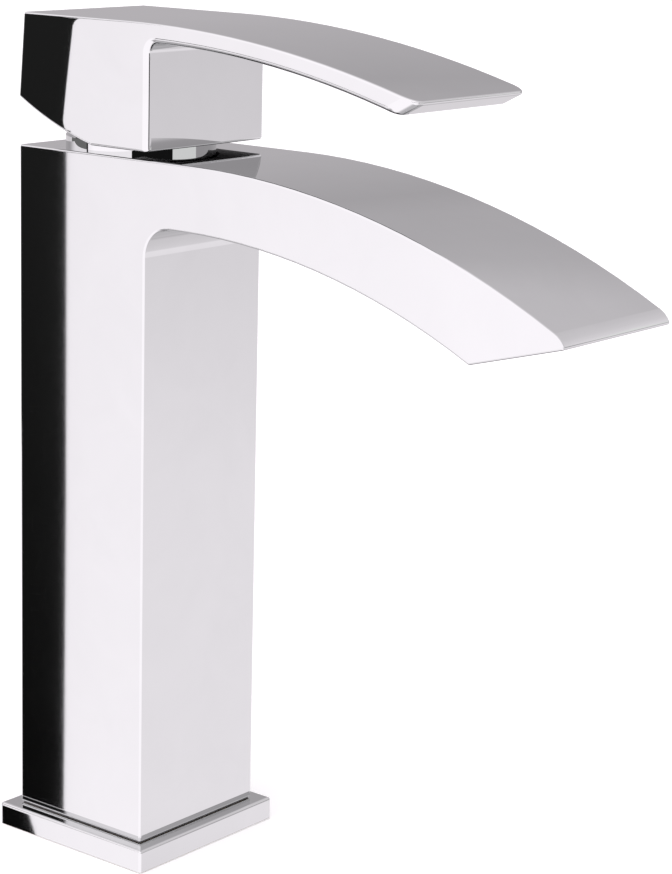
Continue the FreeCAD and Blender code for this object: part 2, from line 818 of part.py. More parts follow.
# Pivot pin: ground steel pin across the turret
def make_pivot_pin():
    pin = doc.addObject("Part::Cylinder", "pivot_pin")
    pin.Label = "pivot_pin"
    length = size("carrier_neck") - size("pin_inset") * 2
    pin.setExpression("Radius", (size("pin_side") / 2).formula)
    pin.setExpression("Height", length.formula)
    pin.Placement = FreeCAD.Placement(
        FreeCAD.Vector(0, 0, 0), FreeCAD.Rotation(FreeCAD.Vector(1, 0, 0), 90))
    pin.setExpression("Placement.Base.y", (length / 2).formula)
    pin.setExpression("Placement.Base.z", pivot.formula)
    return pin


# Lever stem: turned and milled steel lever with a ball tip, a flat shank and a square head
def make_lever_stem():
    body = new_body("lever_stem")
    half_long = size("shank_long") / 2
    half_wide = size("shank_wide") / 2
    shank_foot = pivot - size("shank_drop")
    square_foot = pivot + size("square_foot")
    shank = new_sketch(body, "shank_outline", "XY_Plane", shank_foot)
    rectangle(shank, -half_long, -half_wide, half_long, half_wide)
    pad(body, "shank", shank, square_foot - shank_foot)
    head = new_sketch(body, "head_outline", "XY_Plane", square_foot)
    square(head, size("stem_square"))
    top = pad(body, "square_head", head, size("square_height"))
    head_top = (square_foot + size("square_height")).value
    chamfer(body, "head_bevel", top, lambda edge: lies_at(edge, z=head_top), size("square_chamfer"))
    ball = size("ball_side") / 2
    neck = size("stem_neck") / 2
    neck_meets_ball = ball_height + (ball * ball - neck * neck).root()
    revolve(body, "ball_tip",
            (ZERO, ball_height - ball, ball, "left"), (ball, ball_height, ball, "left"),
            (neck, neck_meets_ball), (neck, shank_foot + size("part_gap")),
            (ZERO, shank_foot + size("part_gap")))
    hole = new_sketch(body, "stem_pin_circle", "XZ_Plane")
    circle(hole, size("pin_side") + size("bearing_gap") * 2, ZERO, pivot)
    pocket(body, "stem_pin_hole", hole, size("shank_wide") * 2, "both")
    return body


# Lock nut: turned brass ring screwed down on the cartridge's shoulder, with slots for a key
def make_lock_nut():
    body = new_body("lock_nut")
    outer = nut_bore / 2 - size("part_gap")
    inner = neck_side / 2 + size("running_gap")
    revolve(body, "nut", (inner, shoulder), (outer, shoulder), (outer, nut_top), (inner, nut_top))
    key = new_sketch(body, "key_slot_outline", "XY_Plane", nut_top)
    half = size("nut_slot") / 2
    rectangle(key, -nut_bore, -half, nut_bore, half)
    pocket(body, "key_slot", key, size("nut_slot_depth"))
    return body


# Cover ring: turned and plated brass ring that hides the nut, with a skirt screwed into the column
def make_cover_ring():
    body = new_body("cover_ring")
    inner = neck_side / 2 + size("cover_gap")
    outer = cover_side / 2
    skirt = nut_bore / 2 - size("part_gap")
    skirt_foot = column_top - size("cover_skirt")
    bevel = size("cover_bevel")
    revolve(body, "cover",
            (inner, skirt_foot), (skirt, skirt_foot), (skirt, column_top), (outer, column_top),
            (outer, cover_top - bevel), (outer - bevel, cover_top), (inner, cover_top))
    return body


# Handle: cast and plated lever, a cored block whose top runs out into the curved blade
def make_handle():
    body = new_body("handle")
    rear = -block_rear
    front = block_front
    top = handle_top
    crown = top - size("blade_thick")
    reach = size("blade_reach")
    under_reach = reach - size("blade_slant")
    armpit = size("blade_armpit")
    armpit_end = front + armpit
    under_radius = size("blade_under_radius")
    top_radius = size("blade_top_radius")
    armpit_top = arc_height(armpit_end, size("blade_crown"), crown, under_radius)
    side = new_sketch(body, "handle_side_view", "XZ_Plane")
    outline(side,
            (rear, handle_foot + size("foot_rear_rise"), size("foot_radius"), "left"),
            (size("foot_front"), handle_foot),
            (front, handle_foot),
            (front, armpit_top - armpit, armpit, "right"),
            (armpit_end, armpit_top, under_radius, "right"),
            (under_reach, arc_height(under_reach, size("blade_crown"), crown, under_radius)),
            (reach, arc_height(reach, size("blade_flat"), top, top_radius), top_radius, "left"),
            (size("blade_flat"), top),
            (rear + size("block_lean"), top))
    lever = pad(body, "block_and_blade", side, handle_width, "both")
    tip = fillet(body, "tip_corners", lever,
                 lambda edge: is_tip_corner(edge, under_reach.value), size("blade_corner"))
    nose = fillet(body, "tip_nose", tip,
                  lambda edge: lies_at(edge, x=under_reach.value), size("blade_nose"))
    fillet(body, "handle_outer_edges", nose,
           lambda edge: is_sharp(nose.Shape, edge), size("edge_round"))
    core_handle(body)
    return body


def is_tip_corner(edge, under_reach):
    """True for the two sloping edges at the sides of the blade's end."""
    points = [vertex.Point for vertex in edge.Vertexes]
    return (all(point.x > under_reach - NEAR for point in points)
            and abs(points[0].y - points[1].y) < NEAR)


def core_handle(body):
    """Hollow the block from below, leaving the boss with the square socket."""
    boss_foot = skirt_top - size("socket_boss_drop")
    low = handle_foot - size("handle_gap")
    mouth = new_sketch(body, "mouth_circle", "XY_Plane", low)
    circle(mouth, mouth_side)
    pocket(body, "mouth", mouth, boss_foot - low, "up")
    skirt = new_sketch(body, "skirt_outline", "XY_Plane", boss_foot)
    circle(skirt, mouth_side)
    square(skirt, size("socket_boss"))
    pocket(body, "skirt", skirt, size("socket_boss_drop"), "up")
    core = new_sketch(body, "core_outline", "XY_Plane", skirt_top)
    circle(core, size("core_side"))
    square(core, size("socket_boss"))
    pocket(body, "core", core, size("core_height"), "up")
    socket = new_sketch(body, "socket_outline", "XY_Plane", boss_foot)
    square(socket, size("stem_square") + size("part_gap") * 2)
    stem_top = pivot + size("square_foot") + size("square_height")
    pocket(body, "socket", socket, stem_top + size("running_gap") - boss_foot, "up")
    thread = new_sketch(body, "screw_hole_circle", "YZ_Plane")
    circle(thread, size("screw_side") + size("bearing_gap") * 2, ZERO, screw_height)
    pocket(body, "screw_hole", thread, size("core_side") / 2, "down")
    core_rear = -size("core_side") / 2
    access = new_sketch(body, "plug_hole_circle", "YZ_Plane", core_rear + size("running_gap"))
    circle(access, size("plug_side") + size("bearing_gap") * 2, ZERO, screw_height)
    pocket(body, "plug_hole", access, block_rear, "down")


# Grub screw: socket screw through the boss, tight against the square of the stem
def make_grub_screw():
    body = new_body("grub_screw")
    tip = -size("stem_square") / 2
    sketch = new_sketch(body, "screw_circle", "YZ_Plane", tip)
    circle(sketch, size("screw_side"), ZERO, screw_height)
    pad(body, "screw", sketch, size("screw_length"), "down")
    key = new_sketch(body, "screw_key_outline", "YZ_Plane", tip - size("screw_length"))
    hexagon(key, size("screw_key"), screw_height)
    pocket(body, "screw_key", key, size("screw_key_depth"), "up")
    return body


def hexagon(sketch, across_flats, height):
    """A hexagon with two upright flats."""
    flat = across_flats / 2
    corner = across_flats / as_size(3).root()
    outline(sketch,
            (flat, height - corner / 2), (flat, height + corner / 2), (ZERO, height + corner),
            (-flat, height + corner / 2), (-flat, height - corner / 2), (ZERO, height - corner))


# Index plug: moulded stopper in the screw's access hole at the back of the handle
def make_index_plug():
    body = new_body("index_plug")
    rise = size("screw_rise") - size("foot_rear_rise")
    height = size("handle_rise") - size("foot_rear_rise")
    face = -block_rear + size("block_lean") * rise / height - size("plug_bevel")
    sketch = new_sketch(body, "plug_circle", "YZ_Plane", face)
    circle(sketch, size("plug_side"), ZERO, screw_height)
    plug = pad(body, "plug", sketch, size("plug_length"), "up")
    chamfer(body, "plug_edge", plug, lambda edge: lies_at(edge, x=face.value), size("plug_bevel"))
    return body


def place_at_outlet(piece):
    """Stand a piece that is modelled with its own Z along the stream's axis in the outlet."""
    middle = at_outlet(-size("aerator_set_back"), ZERO)
    piece.Placement = FreeCAD.Placement(
        FreeCAD.Vector(0, 0, 0), FreeCAD.Rotation(FreeCAD.Vector(0, -1, 0), size("outlet_tilt").value))
    piece.setExpression("Placement.Base.x", middle[0].formula)
    piece.setExpression("Placement.Base.z", middle[1].formula)
    piece.setExpression("Placement.Rotation.Angle", size("outlet_tilt").formula)


def aerator_block(sketch, shrink):
    half_long = size("aerator_length") / 2 - shrink
    half_wide = size("aerator_width") / 2 - shrink
    rectangle(sketch, -half_wide, -half_long, half_wide, half_long)


# Aerator frame: moulded flat cassette with a grid of square jets
def make_aerator_frame():
    body = new_body("aerator_frame")
    top = size("aerator_depth") - size("aerator_seal_thick") - size("screen_thick")
    sketch = new_sketch(body, "frame_outline", "XY_Plane", size("aerator_lip"))
    aerator_block(sketch, size("aerator_gap"))
    pad(body, "frame", sketch, top - size("aerator_lip"))
    cut_grid(body, "jet", foot=size("aerator_lip"), depth=top, rows=2, columns=7)
    return body


def cut_grid(body, name, foot, depth, rows, columns):
    """Cut a grid of holes through a piece that fills the aerator's nest."""
    wide = size("aerator_width") - size("aerator_gap") * 2 - size("aerator_wall") * 2
    long = size("aerator_length") - size("aerator_gap") * 2 - size("aerator_wall") * 2
    rib = size("aerator_rib")
    jet_wide = (wide - rib * (rows - 1)) / rows
    jet_long = (long - rib * (columns - 1)) / columns
    sketch = new_sketch(body, f"{name}_outline", "XY_Plane", foot)
    rectangle(sketch, -wide / 2, -long / 2, jet_wide - wide / 2, jet_long - long / 2)
    first = pocket(body, name, sketch, depth, "up")
    grid = body.newObject("PartDesign::LinearPattern", f"{name}_grid")
    grid.Originals = [first]
    grid.Direction = (sketch, ["H_Axis"])
    grid.setExpression("Length", ((jet_wide + rib) * (rows - 1)).formula)
    grid.Occurrences = rows
    grid.Direction2 = (sketch, ["V_Axis"])
    grid.setExpression("Length2", ((jet_long + rib) * (columns - 1)).formula)
    grid.Occurrences2 = columns
    body.Tip = grid
    doc.recompute()


# Aerator screen: thin steel plate with finer holes on top of the cassette
def make_aerator_screen():
    body = new_body("aerator_screen")
    foot = size("aerator_depth") - size("aerator_seal_thick") - size("screen_thick")
    sketch = new_sketch(body, "screen_outline", "XY_Plane", foot)
    aerator_block(sketch, size("aerator_gap"))
    pad(body, "screen", sketch, size("screen_thick"))
    cut_grid(body, "mesh", foot=foot, depth=size("screen_thick"), rows=3, columns=11)
    return body


# Aerator seal: rubber frame pressed between the cassette and the ledge of its nest
def make_aerator_seal():
    body = new_body("aerator_seal")
    foot = size("aerator_depth") - size("aerator_seal_thick")
    sketch = new_sketch(body, "aerator_seal_outline", "XY_Plane", foot)
    aerator_block(sketch, size("aerator_gap"))
    aerator_block(sketch, size("aerator_ledge"))
    pad(body, "aerator_seal_frame", sketch, size("aerator_seal_thick"))
    return body


pieces = [
    make_base_plate(),
    make_deck_gasket(),
    make_column_seal(),
    make_body_casting(),
    make_cartridge_base(),
    make_rings("inlet_seals", seat, size("inlet_ring_thick")),
    make_rings("disc_seals", disc_foot - size("disc_ring_thick"), size("disc_ring_thick")),
    make_fixed_disc(),
    make_moving_disc(),
    make_disc_driver(),
    make_cartridge_housing(),
    make_cartridge_oring(),
    make_glide_washer(),
    make_lever_carrier(),
    make_pivot_pin(),
    make_lever_stem(),
    make_lock_nut(),
    make_cover_ring(),
    make_handle(),
    make_grub_screw(),
    make_index_plug(),
]
for outlet_piece in (make_aerator_frame(), make_aerator_screen(), make_aerator_seal()):
    place_at_outlet(outlet_piece)
    pieces.append(outlet_piece)

doc.recompute()
for item in doc.Objects:
    if "Invalid" in item.State or "Error" in item.State:
        raise RuntimeError(f"{item.Name} failed: {item.State}")
for piece in pieces:
    if piece.Shape.isNull() or not piece.Shape.isValid():
        raise RuntimeError(f"{piece.Label} has no valid shape")

os.makedirs("parts", exist_ok=True)
for piece in pieces:
    piece.Shape.exportStep(f"parts/{piece.Label}.step")
    print(piece.Label, round(piece.Shape.Volume / 1000, 3), "cm3,", len(piece.Shape.Solids), "solid")
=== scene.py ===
import math

import bpy
from mathutils import Matrix


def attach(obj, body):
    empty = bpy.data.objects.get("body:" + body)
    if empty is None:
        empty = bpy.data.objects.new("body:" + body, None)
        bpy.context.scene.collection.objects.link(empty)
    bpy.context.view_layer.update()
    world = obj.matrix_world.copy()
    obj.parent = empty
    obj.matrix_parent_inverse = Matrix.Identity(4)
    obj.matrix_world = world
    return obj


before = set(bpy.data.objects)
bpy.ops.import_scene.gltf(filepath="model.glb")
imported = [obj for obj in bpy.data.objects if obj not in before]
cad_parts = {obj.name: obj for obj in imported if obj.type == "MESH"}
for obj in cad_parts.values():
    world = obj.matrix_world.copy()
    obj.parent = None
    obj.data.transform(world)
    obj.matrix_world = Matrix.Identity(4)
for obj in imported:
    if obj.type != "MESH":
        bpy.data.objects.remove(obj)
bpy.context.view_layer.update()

# Base plate: a thin square brass plate that the column stands on. It is stamped, polished and
# chrome plated, and the fixing stud pulls it down on to the basin.


def linear(hex_colour):
    """An sRGB colour written as #RRGGBB, in the linear values that a shader takes."""
    channels = [int(hex_colour[place : place + 2], 16) / 255 for place in (1, 3, 5)]
    return (*[c / 12.92 if c <= 0.04045 else ((c + 0.055) / 1.055) ** 2.4 for c in channels], 1.0)


def add_node(tree, kind, settings, inputs):
    """A new node with its settings, and with a value or another node's output on each socket."""
    node = tree.nodes.new(kind)
    for name, value in settings.items():
        setattr(node, name, value)
    for socket, value in inputs.items():
        if isinstance(value, bpy.types.NodeSocket):
            tree.links.new(value, node.inputs[socket])
        else:
            node.inputs[socket].default_value = value
    return node


def start_material(name, shader_values):
    """A new material: its node tree, its shader, and the place of a point on the piece."""
    material = bpy.data.materials.new(name)
    material.use_nodes = True
    shader = material.node_tree.nodes["Principled BSDF"]
    for socket, value in shader_values.items():
        shader.inputs[socket].default_value = value
    place = add_node(material.node_tree, "ShaderNodeTexCoord", {}, {}).outputs["Object"]
    return material, material.node_tree, shader, place


def dress(material, *nodes):
    """These solids of the frame take the material."""
    for name in nodes:
        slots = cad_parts[name].data.materials
        slots.clear()
        slots.append(material)


# Chrome plate on polished metal. The buffing wheel leaves a faint haze about 1 mm across and
# wiped patches of about 22 mm, and the plate is wavy by less than a thousandth of a millimetre.
# The plate does not reach the foot of a piece or the hollow inside it: below bare_foot, and below
# bare_top within the square of bare_reach. There the bare metal is drawn dark, its own colour
# mixed with black, as painted shade in the hollow and in the gap under the piece.
def chrome_plate(name, haze, bare_colour, bare_reach, bare_top, bare_foot):
    patches_per_metre = 45.0
    swirls_per_metre = 900.0
    swirl_share = 0.35
    waves_per_metre = 110.0
    wave_height = 0.0000002
    bare_roughness = 0.7
    material, tree, shader, place = start_material(name, {})
    wiped = add_node(
        tree,
        "ShaderNodeTexNoise",
        {},
        {
            "Vector": place,
            "Scale": patches_per_metre,
            "Detail": 3.0,
            "Roughness": 0.6,
            "Distortion": 0.8,
        },
    )
    buffed = add_node(
        tree,
        "ShaderNodeTexNoise",
        {},
        {"Vector": place, "Scale": swirls_per_metre, "Detail": 2.0, "Roughness": 0.5},
    )
    both = add_node(
        tree,
        "ShaderNodeMix",
        {"data_type": "FLOAT"},
        {"Factor": swirl_share, "A": wiped.outputs["Fac"], "B": buffed.outputs["Fac"]},
    )
    hazy = add_node(
        tree,
        "ShaderNodeMapRange",
        {},
        {
            "Value": both.outputs["Result"],
            "From Min": 0.3,
            "From Max": 0.7,
            "To Min": haze[0],
            "To Max": haze[1],
        },
    )
    tint = add_node(
        tree,
        "ShaderNodeMix",
        {"data_type": "RGBA"},
        {"Factor": wiped.outputs["Fac"], "A": linear("#D4D5D5"), "B": linear("#DADBDB")},
    )
    where = add_node(tree, "ShaderNodeSeparateXYZ", {}, {"Vector": place})
    across = [
        add_node(tree, "ShaderNodeMath", {"operation": "ABSOLUTE"}, {0: where.outputs[axis]})
        for axis in ("X", "Y")
    ]
    widest = add_node(
        tree,
        "ShaderNodeMath",
        {"operation": "MAXIMUM"},
        {0: across[0].outputs[0], 1: across[1].outputs[0]},
    )
    within = add_node(
        tree,
        "ShaderNodeMath",
        {"operation": "LESS_THAN"},
        {0: widest.outputs[0], 1: bare_reach},
    )
    below = add_node(
        tree,
        "ShaderNodeMath",
        {"operation": "LESS_THAN"},
        {0: where.outputs["Z"], 1: bare_top},
    )
    inside = add_node(
        tree,
        "ShaderNodeMath",
        {"operation": "MULTIPLY"},
        {0: within.outputs[0], 1: below.outputs[0]},
    )
    under = add_node(
        tree,
        "ShaderNodeMath",
        {"operation": "LESS_THAN"},
        {0: where.outputs["Z"], 1: bare_foot},
    )
    bare_and_shaded = add_node(
        tree,
        "ShaderNodeMath",
        {"operation": "MAXIMUM"},
        {0: inside.outputs[0], 1: under.outputs[0]},
    )
    plated = add_node(
        tree, "ShaderNodeMath", {"operation": "SUBTRACT"}, {0: 1.0, 1: bare_and_shaded.outputs[0]}
    )
    # Painted shade: the bare colour is mixed with black, so the hollow and the foot draw dark in
    # the gaps.
    skin = add_node(
        tree,
        "ShaderNodeMix",
        {"data_type": "RGBA"},
        {"Factor": buffed.outputs["Fac"], "A": linear("#000000"), "B": linear(bare_colour)},
    )
    colour = add_node(
        tree,
        "ShaderNodeMix",
        {"data_type": "RGBA"},
        {"Factor": bare_and_shaded.outputs[0], "A": tint.outputs["Result"], "B": skin.outputs["Result"]},
    )
    sheen = add_node(
        tree,
        "ShaderNodeMix",
        {"data_type": "FLOAT"},
        {"Factor": bare_and_shaded.outputs[0], "A": hazy.outputs["Result"], "B": bare_roughness},
    )
    wave = add_node(
        tree,
        "ShaderNodeTexNoise",
        {},
        {"Vector": place, "Scale": waves_per_metre, "Detail": 1.0},
    )
    bump = add_node(
        tree,
        "ShaderNodeBump",
        {},
        {"Height": wave.outputs["Fac"], "Strength": 1.0, "Distance": wave_height},
    )
    tree.links.new(colour.outputs["Result"], shader.inputs["Base Color"])
    tree.links.new(plated.outputs[0], shader.inputs["Metallic"])
    tree.links.new(sheen.outputs["Result"], shader.inputs["Roughness"])
    tree.links.new(bump.outputs["Normal"], shader.inputs["Normal"])
    return material


brass_skin = "#8A7040"
plate_chrome = chrome_plate(
    "stamped_plate_chrome",
    haze=(0.016, 0.022),
    bare_colour=brass_skin,
    bare_reach=0.0185,
    bare_top=0.02,
    bare_foot=0.00001,
)
dress(plate_chrome, "base_plate")

# Rubber rings: the gasket under the plate, the thin grey seal between the plate and the column,
# whose grey is painted shade for the dark line in the seam, the rings in the cartridge and the
# frame seal in the outlet. They are moulded in EPDM and pressed into their seats.


# Moulded rubber is dull, with a dusty bloom in patches of about 4 mm. The grain of its mould is
# drawn at about 0.4 mm, coarser than the real one, so that it shows.
def moulded_rubber(name, dark, light):
    patches_per_metre = 260.0
    grains_per_metre = 2600.0
    grain_height = 0.00003
    material, tree, shader, place = start_material(name, {"IOR": 1.5})
    bloom = add_node(
        tree,
        "ShaderNodeTexNoise",
        {},
        {"Vector": place, "Scale": patches_per_metre, "Detail": 4.0},
    )
    grain = add_node(
        tree,
        "ShaderNodeTexNoise",
        {},
        {"Vector": place, "Scale": grains_per_metre, "Detail": 2.0},
    )
    colour = add_node(
        tree,
        "ShaderNodeMix",
        {"data_type": "RGBA"},
        {"Factor": bloom.outputs["Fac"], "A": linear(dark), "B": linear(light)},
    )
    dull = add_node(
        tree,
        "ShaderNodeMapRange",
        {},
        {"Value": bloom.outputs["Fac"], "To Min": 0.5, "To Max": 0.75},
    )
    bump = add_node(
        tree,
        "ShaderNodeBump",
        {},
        {"Height": grain.outputs["Fac"], "Strength": 0.5, "Distance": grain_height},
    )
    tree.links.new(colour.outputs["Result"], shader.inputs["Base Color"])
    tree.links.new(dull.outputs["Result"], shader.inputs["Roughness"])
    tree.links.new(bump.outputs["Normal"], shader.inputs["Normal"])
    return material


black_rubber = moulded_rubber("moulded_black_rubber", "#101011", "#2A2A2B")
# The grey of the column seal is painted shade: it draws the dark line of the shadow in the seam.
seam_shade_rubber = moulded_rubber("moulded_rubber_seam_shade", "#58585A", "#6E6E70")
dress(seam_shade_rubber, "column_seal")
dress(
    black_rubber,
    "deck_gasket",
    "inlet_seals",
    "disc_seals",
    "cartridge_oring",
    "aerator_seal",
)

# Column and spout: one brass casting, ground to flat faces and crisp edges, polished and chrome
# plated. It is bored from above for the cartridge, and from below for the hoses and the stud.
casting_chrome = chrome_plate(
    "cast_body_chrome",
    haze=(0.018, 0.023),
    bare_colour=brass_skin,
    bare_reach=0.0196,
    bare_top=0.188,
    bare_foot=0.0063,
)
dress(casting_chrome, "body_casting")

# Threads: M8 in the hole for the fixing stud, and M10 x 1 in the two holes for the hoses. They are
# cut with a tap in the brass of the casting, and stay bare.

# Cut brass. The tool leaves fine rings round the axis, and the metal has dulled in patches of
# about 6 mm.
rings_per_metre = 500.0
ring_depth = 0.00001
stains_per_metre = 180.0
brass, tree, shader, place = start_material("turned_brass", {"Metallic": 1.0})
rings = add_node(
    tree,
    "ShaderNodeTexWave",
    {"wave_type": "RINGS", "rings_direction": "Z"},
    {"Vector": place, "Scale": rings_per_metre, "Distortion": 1.0, "Detail": 2.0},
)
tarnish = add_node(
    tree, "ShaderNodeTexNoise", {}, {"Vector": place, "Scale": stains_per_metre, "Detail": 4.0}
)
colour = add_node(
    tree,
    "ShaderNodeMix",
    {"data_type": "RGBA"},
    {"Factor": tarnish.outputs["Fac"], "A": linear("#B08D45"), "B": linear("#D9BC74")},
)
dull = add_node(
    tree,
    "ShaderNodeMapRange",
    {},
    {"Value": tarnish.outputs["Fac"], "To Min": 0.22, "To Max": 0.4},
)
bump = add_node(
    tree,
    "ShaderNodeBump",
    {},
    {"Height": rings.outputs["Fac"], "Strength": 0.4, "Distance": ring_depth},
)
tree.links.new(colour.outputs["Result"], shader.inputs["Base Color"])
tree.links.new(dull.outputs["Result"], shader.inputs["Roughness"])
tree.links.new(bump.outputs["Normal"], shader.inputs["Normal"])


def tap_thread(name, x, y, mouth, depth, bore_radius, pitch):
    """The ridge that winds up the wall of a tapped hole."""
    ridge = pitch / 3
    steps_per_turn = 32
    bpy.ops.object.select_all(action="DESELECT")
    bpy.ops.mesh.primitive_circle_add(
        vertices=3, radius=ridge, rotation=(math.pi / 2, -math.pi / 2, 0.0)
    )
    thread = bpy.context.object
    thread.name = name
    bpy.ops.object.transform_apply(location=False, rotation=True, scale=False)
    bpy.ops.object.mode_set(mode="EDIT")
    bpy.ops.mesh.select_all(action="SELECT")
    bpy.ops.transform.translate(value=(bore_radius, 0.0, mouth + ridge))
    bpy.ops.object.mode_set(mode="OBJECT")
    winding = thread.modifiers.new("winding", "SCREW")
    winding.screw_offset = pitch
    winding.iterations = int(depth / pitch) - 1
    winding.steps = steps_per_turn
    winding.render_steps = steps_per_turn
    bpy.ops.object.modifier_apply(modifier=winding.name)
    bpy.ops.object.mode_set(mode="EDIT")
    bpy.ops.mesh.select_all(action="SELECT")
    bpy.ops.mesh.fill_holes(sides=3)
    bpy.ops.mesh.select_all(action="SELECT")
    bpy.ops.mesh.normals_make_consistent(inside=False)
    bpy.ops.object.mode_set(mode="OBJECT")
    bpy.ops.object.shade_smooth_by_angle(angle=math.radians(30.0))
    thread.location = (x, y, 0.0)
    bpy.ops.object.transform_apply(location=True, rotation=False, scale=False)
    thread.data.materials.append(brass)
    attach(thread, "tap_body")


tap_thread(
    "stud_thread",
    x=-0.012,
    y=0.0,
    mouth=0.00955,
    depth=0.020,
    bore_radius=0.0034,
    pitch=0.00125,
)
for name, side in (("left_inlet_thread", 0.0068), ("right_inlet_thread", -0.0068)):
    tap_thread(name, x=0.004, y=side, mouth=0.143, depth=0.009, bore_radius=0.0045, pitch=0.001)

# Ceramic cartridge and outlet, plastic pieces: base, driver, turret, washer, housing and the flat
# frame in the outlet. They are moulded in white acetal and in grey filled plastic.


# Moulded plastic has faint flow marks of about 7 mm and the matt skin of an eroded mould. The skin
# is drawn at about 0.3 mm, coarser than the real one, so that it shows.
def moulded_plastic(name, dark, light, roughness):
    marks_per_metre = 140.0
    pits_per_metre = 3200.0
    pit_depth = 0.00002
    uneven = 0.08
    material, tree, shader, place = start_material(name, {"IOR": 1.48})
    flow = add_node(
        tree,
        "ShaderNodeTexNoise",
        {},
        {"Vector": place, "Scale": marks_per_metre, "Detail": 3.0, "Distortion": 1.2},
    )
    skin = add_node(
        tree, "ShaderNodeTexNoise", {}, {"Vector": place, "Scale": pits_per_metre, "Detail": 1.0}
    )
    colour = add_node(
        tree,
        "ShaderNodeMix",
        {"data_type": "RGBA"},
        {"Factor": flow.outputs["Fac"], "A": linear(dark), "B": linear(light)},
    )
    matt = add_node(
        tree,
        "ShaderNodeMapRange",
        {},
        {"Value": skin.outputs["Fac"], "To Min": roughness - uneven, "To Max": roughness + uneven},
    )
    bump = add_node(
        tree,
        "ShaderNodeBump",
        {},
        {"Height": skin.outputs["Fac"], "Strength": 0.4, "Distance": pit_depth},
    )
    tree.links.new(colour.outputs["Result"], shader.inputs["Base Color"])
    tree.links.new(matt.outputs["Result"], shader.inputs["Roughness"])
    tree.links.new(bump.outputs["Normal"], shader.inputs["Normal"])
    return material


white_plastic = moulded_plastic("moulded_white_acetal", "#E4E2DB", "#F1F0EB", roughness=0.38)
grey_plastic = moulded_plastic("moulded_grey_plastic", "#55585B", "#6B6E71", roughness=0.45)
dress(white_plastic, "cartridge_base", "cartridge_housing", "glide_washer", "disc_driver")
dress(grey_plastic, "lever_carrier", "aerator_frame")

# Ceramic discs: pressed and fired alumina, lapped flat until the two faces seal on each other.
# The fixed one lies on the base of the cartridge, and the driver carries the moving one.

# Lapped alumina is smooth and a little creamy. Its crystals are drawn at about 0.6 mm, far coarser
# than the real ones, so that the grain shows.
crystals_per_metre = 1800.0
ceramic, tree, shader, place = start_material("lapped_alumina", {"IOR": 1.76})
crystal = add_node(
    tree, "ShaderNodeTexVoronoi", {}, {"Vector": place, "Scale": crystals_per_metre}
)
colour = add_node(
    tree,
    "ShaderNodeMix",
    {"data_type": "RGBA"},
    {"Factor": crystal.outputs["Distance"], "A": linear("#F3EFE6"), "B": linear("#E6E0D3")},
)
lapped = add_node(
    tree,
    "ShaderNodeMapRange",
    {},
    {"Value": crystal.outputs["Distance"], "To Min": 0.14, "To Max": 0.3},
)
tree.links.new(colour.outputs["Result"], shader.inputs["Base Color"])
tree.links.new(lapped.outputs["Result"], shader.inputs["Roughness"])
dress(ceramic, "fixed_disc", "moving_disc")

# Steel pieces: the pivot pin and the lever stem of the cartridge, the grub screw that clamps the
# handle, and the drilled screen in the outlet. They are stainless steel, cut from bar and sheet.

# Ground steel has fine lines along the stem that dull the shine. They are drawn about 0.4 mm wide
# and 6 mm long, coarser than the real ones, so that they show.
lines_across = 2400.0
lines_along = 160.0
line_depth = 0.00001
steel, tree, shader, place = start_material("ground_stainless_steel", {"Metallic": 1.0})
along = add_node(
    tree,
    "ShaderNodeMapping",
    {},
    {"Vector": place, "Scale": (lines_across, lines_across, lines_along)},
)
lines = add_node(
    tree, "ShaderNodeTexNoise", {}, {"Vector": along.outputs["Vector"], "Scale": 1.0, "Detail": 3.0}
)
colour = add_node(
    tree,
    "ShaderNodeMix",
    {"data_type": "RGBA"},
    {"Factor": lines.outputs["Fac"], "A": linear("#A9A8A4"), "B": linear("#C6C5C1")},
)
dull = add_node(
    tree,
    "ShaderNodeMapRange",
    {},
    {"Value": lines.outputs["Fac"], "To Min": 0.2, "To Max": 0.42},
)
bump = add_node(
    tree,
    "ShaderNodeBump",
    {},
    {"Height": lines.outputs["Fac"], "Strength": 0.3, "Distance": line_depth},
)
tree.links.new(colour.outputs["Result"], shader.inputs["Base Color"])
tree.links.new(dull.outputs["Result"], shader.inputs["Roughness"])
tree.links.new(bump.outputs["Normal"], shader.inputs["Normal"])
dress(steel, "pivot_pin", "lever_stem", "grub_screw", "aerator_screen")

# Lock nut: turned from brass bar and left bare, since the cover ring hides it. It screws into the
# column and holds the cartridge down.
dress(brass, "lock_nut")

# Cover ring: a turned and plated brass ring that drops over the lock nut and closes the top of
# the column. It shows in the narrow gap under the handle.
ring_chrome = chrome_plate(
    "turned_ring_chrome",
    haze=(0.014, 0.02),
    bare_colour=brass_skin,
    bare_reach=0.021,
    bare_top=0.188,
    bare_foot=0.188,
)
dress(ring_chrome, "cover_ring")

# Handle: a zinc die casting, a square block that runs out into a curved blade. It is polished
# brighter than the column, so reflections in it have crisp borders.
# Its foot and the hollow inside it are drawn near black: painted shade for the dark gap between the
# handle and the column.
handle_chrome = chrome_plate(
    "cast_handle_chrome",
    haze=(0.008, 0.012),
    bare_colour="#39393B",
    bare_reach=0.0209,
    bare_top=0.2175,
    bare_foot=0.19045,
)
dress(handle_chrome, "handle")

# Index plug: a small plug, moulded in grey plastic with a satin skin. It snaps into the screw hole
# at the back of the handle.
plug_plastic = moulded_plastic("moulded_plug_plastic", "#8D9093", "#9DA0A3", roughness=0.3)
dress(plug_plastic, "index_plug")

# Studio: a pale floor, a soft white surround, and cards that only show as reflections in the
# chrome. The camera stands where the photograph was taken from.
bpy.ops.object.select_all(action="DESELECT")


